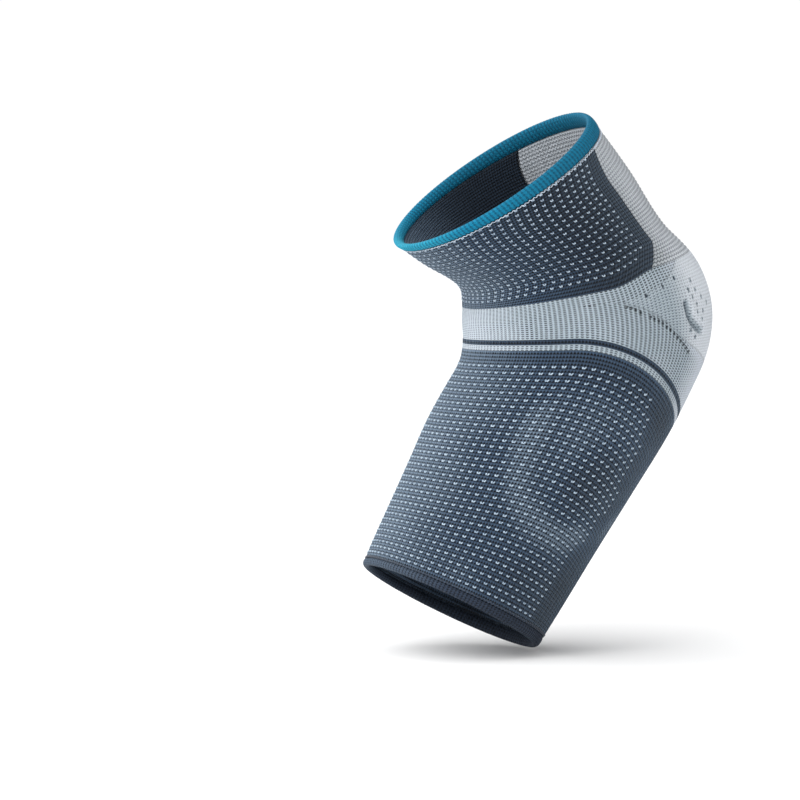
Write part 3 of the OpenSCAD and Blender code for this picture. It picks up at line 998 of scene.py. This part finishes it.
def v_stitch():
    """Vertices in mm (across, along, out) and faces of one V."""
    legs = []
    for side in (-1, 1):
        bpy.ops.mesh.primitive_ico_sphere_add(subdivisions=1, radius=1)
        leg = bpy.context.object
        leg.data.transform(Matrix.Diagonal(LEG_SIZE))
        leg.data.transform(Matrix.Rotation(-side * LEG_LEAN, 4, "Z"))
        leg.data.transform(Matrix.Translation((side * LEG_SHIFT, 0, 0)))
        legs.append(leg)
    join(legs[1], legs[0])
    joined = bpy.context.object
    points = numbers(joined.data.vertices, "co", np.float32, 3).astype(float)
    faces = np.array([tuple(p.vertices) for p in joined.data.polygons])
    bpy.data.objects.remove(joined)
    return points, faces


STITCH_POINTS, STITCH_FACES = v_stitch()
print("one V has", len(STITCH_FACES), "faces")


# %% Copies of the V
STITCH_CELL = 2.6
STITCH_LIFT = 0.06


def scatter_stitches(name, s, a, wale, plump):
    """Copies the V to every place, true to size on the curved sleeve, times plump."""
    across = np.linalg.norm(skin(s, a + 0.5) - skin(s, a - 0.5), axis=-1)[:, None]
    along = np.linalg.norm(skin(s + 0.5, a) - skin(s - 0.5, a), axis=-1)[:, None]
    x, y, z = STITCH_POINTS.T
    size = plump * np.clip(across / MM_PER_DEGREE, 0.8, 1.1)
    size = size * (1 - 0.08 * smooth((from_front(a) - 70) / 40))[:, None]
    point_s = s[:, None] + y * size / along
    point_a = a[:, None] + x * size / across
    lift = relief(s, a, wale)[:, None] + STITCH_LIFT
    points = skin(point_s, point_a, lift + z).reshape(-1, 3)
    count = len(STITCH_POINTS)
    faces = (STITCH_FACES[None] + count * np.arange(len(s))[:, None, None]).reshape(-1, 3)
    mesh = bpy.data.meshes.new(name)
    mesh.from_pydata((points * MM).tolist(), [], faces.tolist())
    piece = bpy.data.objects.new(name, mesh)
    scene.collection.objects.link(piece)
    per_row = math.ceil(math.sqrt(len(s) / 2)) * 2
    cell = np.arange(len(s))[:, None]
    u = ((cell % per_row) + 0.5 + x / STITCH_CELL) / per_row
    v = ((cell // per_row) + 0.5 + y / STITCH_CELL) / per_row
    set_uv(mesh, "OFBake", u.ravel(), v.ravel())
    return piece


def dot_places(place, wales, courses, last_wale, first_course, rows):
    """Every second wale from side to side, and every fourth course: along, round, wale, row."""
    wale, row = np.meshgrid(np.arange(-last_wale, last_wale + 1, 2), np.arange(rows), indexing="ij")
    u, v = wale / wales + 0.5, (first_course + 4 * row) / courses
    s, a, wale, _ = place(u.ravel(), v.ravel())
    return s, a, wale, row.ravel()


# %% Dots of the upper panel
UPPER_DOT_ROWS = 17
LAST_ROW_LIMIT = 105
s, a, wale, row = dot_places(upper_place, UPPER_WALES, UPPER_COURSES, 47, 1.3, UPPER_DOT_ROWS)
kept = (row < UPPER_DOT_ROWS - 1) | (np.abs(a) < LAST_ROW_LIMIT)
upper_dots = scatter_stitches("upper_panel_dots", s[kept], a[kept], wale[kept], 0.95)
finish_piece(upper_dots, upper_dot_thread, "pale_thread")

# %% Dots of the forearm
FOREARM_DOT_ROWS = 32
# how far round, in degrees, the dots reach at places along the forearm: (along, round)
DOT_LIMIT = [(-131, 118), (-105, 118), (-97, 119), (-90, 122), (-80, 125), (-70, 123.5),
             (-60, 121), (-50, 118), (-42, 116), (-37, 112), (-20, 100)]
s, a, wale, row = dot_places(forearm_place, WALES, FOREARM_COURSES, 75, 9, FOREARM_DOT_ROWS)
kept = np.abs(a) < np.interp(s, *zip(*DOT_LIMIT))
forearm_dots = scatter_stitches("forearm_dots", s[kept], a[kept], wale[kept], 1.08)
finish_piece(forearm_dots, dot_thread, "pale_thread")

# %% [markdown]
# ## Welts
#
# Each end of the tube is folded over an elastic and sewn down. The fold is a ring with a rounded
# section, hollow for the elastic, with fine ribs across it. A torus could be stretched to fit, but
# a flat strip wraps more exactly: its second direction runs round the section, so that it closes
# on itself both ways.

# %% Rings
SECTION_ROWS = 20
SECTION_CORNER = 0.9


def rounded(x):
    """Swells a sine or cosine, so that a circle becomes a box with round corners."""
    return np.sign(x) * np.abs(x) ** SECTION_CORNER


def ring(name, hem, inward, height, outer, inner, columns, ribs, amplitude, inside=False):
    """A closed tube round the arm, from the hem inwards. outer and inner are its heights."""
    piece, x, y = flat_grid(name, columns, SECTION_ROWS)
    mesh = piece.data
    u, v = (x + 1) / 2, (y + 1) / 2
    box_x, box_y = rounded(np.cos(2 * math.pi * v)), rounded(np.sin(2 * math.pi * v))
    rib = amplitude * np.cos(2 * math.pi * ribs * u) * np.clip(box_x + 0.6, 0, 1)
    a = (u - 0.5) * 360
    along = hem + inward * height / 2 * (1 + box_y)
    out = mid(inner, outer, (1 + box_x) / 2) + rib
    # painted light over the crook and painted shade behind
    keep_values(mesh, "tone", welt_painted_light_and_shade(a))
    keep_values(mesh, "along", along)
    set_uv(mesh, "knit", ribs * u, v * 12)
    set_uv(mesh, "OFBake", u, v)
    set_points(mesh, skin(along, a, out))
    close_and_face(piece, inside)
    return piece


# %% Welts and their elastics
PLY = 0.9
CHANNEL_OUT, CHANNEL_IN = -0.4, 0.4 - KNIT
ELASTIC_OUT, ELASTIC_IN = -0.7, 0.7 - KNIT
ELASTIC_RIBS = 77


def welt(name, hem, inward, height, amplitude, proud, material, slot, node):
    """A folded welt: an outer ring, and inside it the wall of the channel for the elastic."""
    shell = ring(name, hem, inward, height, proud, -KNIT - 0.5, WALES * 4, WALES, amplitude)
    channel = ring(name + "_channel", hem + inward * PLY, inward, height - 2 * PLY, CHANNEL_OUT,
                   CHANNEL_IN, WALES, WALES, 0, inside=True)
    share_layout(shell, channel)
    join(shell, channel)
    finish_piece(shell, material, slot, node)
    return shell


def elastic(name, hem, inward, height, node):
    """A flat elastic inside a welt."""
    band = ring(name, hem, inward, height, ELASTIC_OUT, ELASTIC_IN, ELASTIC_RIBS * 4,
                ELASTIC_RIBS, 0)
    finish_piece(band, elastic_material, "elastic", node)
    return band


top_welt = welt("top_welt_knit", UPPER_LENGTH, -1, TOP_WELT, 0.16, 0.5, teal_knit, "teal_knit",
                "top_welt")
lower_welt = welt("lower_welt_knit", -FOREARM_LENGTH, 1, LOWER_WELT, 0.12, 0.3, hem_knit,
                  "navy_knit", "lower_welt")
top_elastic = elastic("top_elastic", UPPER_LENGTH - 1.2, -1, TOP_WELT - 2.4, "top_welt_elastic")
lower_elastic = elastic("lower_elastic", 1.2 - FOREARM_LENGTH, 1, LOWER_WELT - 2.2,
                        "lower_welt_elastic")

# %% [markdown]
# ## Stitching
#
# The welts and the pockets are sewn down with a zigzag of thread. A thread is a thin curve with a
# round bevel that is then made a mesh, because it is easier to say where a thread runs than to
# build its tube by hand.

# %% Threads
HEM_THREAD, HEM_THREAD_LIFT = 0.14, 0.15
POCKET_THREAD, POCKET_TURNS = 0.2, 70


def thread(name, points_mm, radius):
    """A closed thread through the points."""
    curve = bpy.data.curves.new(name, "CURVE")
    curve.dimensions = "3D"
    curve.bevel_depth = radius * MM
    curve.bevel_resolution = 1
    curve.resolution_u = 1
    line = curve.splines.new("POLY")
    line.points.add(len(points_mm) - 1)
    coordinates = np.concatenate([points_mm * MM, np.ones((len(points_mm), 1))], 1)
    line.points.foreach_set("co", coordinates.astype(np.float32).ravel())
    line.use_cyclic_u = True
    piece = bpy.data.objects.new(name, curve)
    scene.collection.objects.link(piece)
    only(piece)
    bpy.ops.object.convert(target="MESH")
    return bpy.context.object


def zigzag(turns):
    """Four points for each turn: their numbers, and the side of the line that each is on."""
    k = np.arange(4 * turns)
    return k, np.array([-1, 1, 1, -1])[k % 4]


def hem_thread(name, at, swing, material, slot, node):
    """A zigzag round the arm, one turn for each wale."""
    k, side = zigzag(WALES)
    a = (k + 0.5) * 360 / len(k)
    piece = thread(name, skin(at + swing * side, a, HEM_THREAD_LIFT + 0.12 * (side > 0)),
                   HEM_THREAD)
    finish_piece(piece, material, slot, node)
    return piece


top_thread = hem_thread(
    "top_overlock", WELT_LINE - 0.25, 0.22, pale_thread, "pale_thread", "top_seam_thread")
lower_thread = hem_thread(
    "lower_overlock", HEM_LINE + 0.25, 0.3, navy_thread, "navy_thread", "lower_seam_thread")

# %% [markdown]
# ## Pads and pockets
#
# A gel pad lies on each side of the forearm, a horseshoe that is open towards the elbow, so it
# presses on the muscle and leaves the bone free. It is crowned where it faces the arm and flat
# where it lies on the knit. A thin lining covers it, sinks a little inside the horseshoe, and is
# sewn to the sleeve round its rim. Both could be cut from slabs and bent round the arm, but flat
# grids with a place for each point lie on the sleeve's inside at once.

# %% Pad map
PAD_SIZE, PAD_LIMB, PAD_THICK = 62.0, 17.0, 4.5
SNUG = 0.25
POCKET_MARGIN, POCKET_PLY = 8.0, 0.8
PAD_RADIUS = 44.0
bend_radius = (PAD_SIZE - PAD_LIMB) / 2
straight = PAD_SIZE - PAD_LIMB / 2 - bend_radius - PAD_LIMB / 2
path_length = 2 * straight + math.pi * bend_radius
PAD_FACE = -KNIT - SNUG
print("each pad is a strip", round(path_length), "mm long, bent into a horseshoe")


def pad_skin(x, z, out, side):
    """A point near the pad: x across and z along the arm, from the pad's middle."""
    return skin(PAD_MIDDLE + z, side * (PAD_ROUND + np.degrees(x / PAD_RADIUS)), out)


def horseshoe(t):
    """Middle line of the pad, and the direction across it."""
    d = t * path_length
    top = PAD_SIZE / 2 - PAD_LIMB / 2
    turn = np.clip((d - straight) / bend_radius, 0, math.pi)
    x = -bend_radius * np.cos(turn)
    z = top - straight - bend_radius * np.sin(turn)
    z = z + np.maximum(0, straight - d) + np.maximum(0, d - path_length + straight)
    return x, z, turn


def near_horseshoe(x, z):
    """Distance from the pad's middle line."""
    px, pz, _ = horseshoe(np.linspace(0.04, 0.96, 40))
    return np.min(np.hypot(x[:, None] - px, z[:, None] - pz), axis=1)


# %% Pads
def layers(piece, under_points, outside_points):
    """Makes the piece the outside layer, adds the layer under it, and closes the two."""
    set_points(piece.data, outside_points)
    under = copy_of(piece)
    set_points(under.data, under_points)
    under.data.flip_normals()
    share_layout(piece, under, share=0.48)
    join(piece, under)
    close_and_face(piece)


def gel_pad(name, node, side):
    """A strip with round ends, bent into the horseshoe and crowned towards the arm."""
    piece, x, q = flat_grid(name, 120, 20)
    t = (x + 1) / 2
    from_end = np.minimum(t, 1 - t) * path_length
    r = PAD_LIMB / 2
    half = np.where(from_end < r, np.sqrt(np.clip(r * r - (r - from_end) ** 2, 0.01, None)), r)
    x, z, turn = horseshoe(t)
    x, z = x + np.cos(turn) * half * q, z + np.sin(turn) * half * q
    crown = (1 - np.abs(q) ** 3) ** 0.5 * np.minimum(1, np.sqrt(half / r))
    set_uv(piece.data, "OFBake", t, (q + 1) / 2)
    layers(piece, pad_skin(x, z, PAD_FACE - PAD_THICK * crown, side),
           pad_skin(x, z, PAD_FACE, side))
    finish_piece(piece, gel, "gel_pad", node)


gel_pad("lateral_gel_pad", "lateral_pad", 1)
gel_pad("medial_gel_pad", "medial_pad", -1)


# %% Pockets
LINING_WALE, LINING_COURSE = 1.2, 0.9


def pocket_edge(turn):
    """The pocket's rim, a box with round corners, as a distance from its middle."""
    half = PAD_SIZE / 2 + POCKET_MARGIN
    reach = half / (np.abs(np.cos(turn)) ** 4 + np.abs(np.sin(turn)) ** 4) ** 0.25
    return reach * np.cos(turn), reach * np.sin(turn)


def lining_pocket(name, node, side):
    """A square of lining whose rings of points shrink from the rim towards the middle."""
    piece, across, up_down = flat_grid(name, 60, 60)
    reach = np.maximum(np.abs(across), np.abs(up_down))
    edge_x, edge_z = pocket_edge(np.arctan2(up_down, across))
    x, z = edge_x * reach, edge_z * reach
    over = PAD_FACE - SNUG - PAD_THICK
    covered = smooth(1.5 - near_horseshoe(x, z) / 9)
    sunk = mid(PAD_FACE - 1.2, over, np.maximum(covered, 0.2))
    out = mid(sunk, PAD_FACE, smooth((reach - 0.88) / 0.12))
    keep_values(piece.data, "tone", np.zeros(len(x)))
    set_uv(piece.data, "knit", x / LINING_WALE, z / LINING_COURSE)
    set_uv(piece.data, "OFBake", (across + 1) / 2, (up_down + 1) / 2)
    ply = POCKET_PLY * smooth((1 - reach) / 0.04)
    layers(piece, pad_skin(x, z, out - ply, side), pad_skin(x, z, out, side))
    finish_piece(piece, lining_knit, "navy_lining", node)
    return piece


def pocket_thread(name, node, side):
    """A zigzag just outside the pocket's rim."""
    k, swing = zigzag(POCKET_TURNS)
    x, z = pocket_edge(2 * math.pi * k / len(k))
    grow = 1 + (0.7 + 0.6 * swing) / np.hypot(x, z)
    piece = thread(name, pad_skin(x * grow, z * grow, PAD_FACE - 0.15, side), POCKET_THREAD)
    finish_piece(piece, navy_thread, "navy_thread", node)
    return piece


lateral_pocket = lining_pocket("lateral_pocket_lining", "lateral_pad_pocket", 1)
medial_pocket = lining_pocket("medial_pocket_lining", "medial_pad_pocket", -1)
lateral_stitching = pocket_thread("lateral_pocket_stitching", "lateral_pocket_seam", 1)
medial_stitching = pocket_thread("medial_pocket_stitching", "medial_pocket_seam", -1)
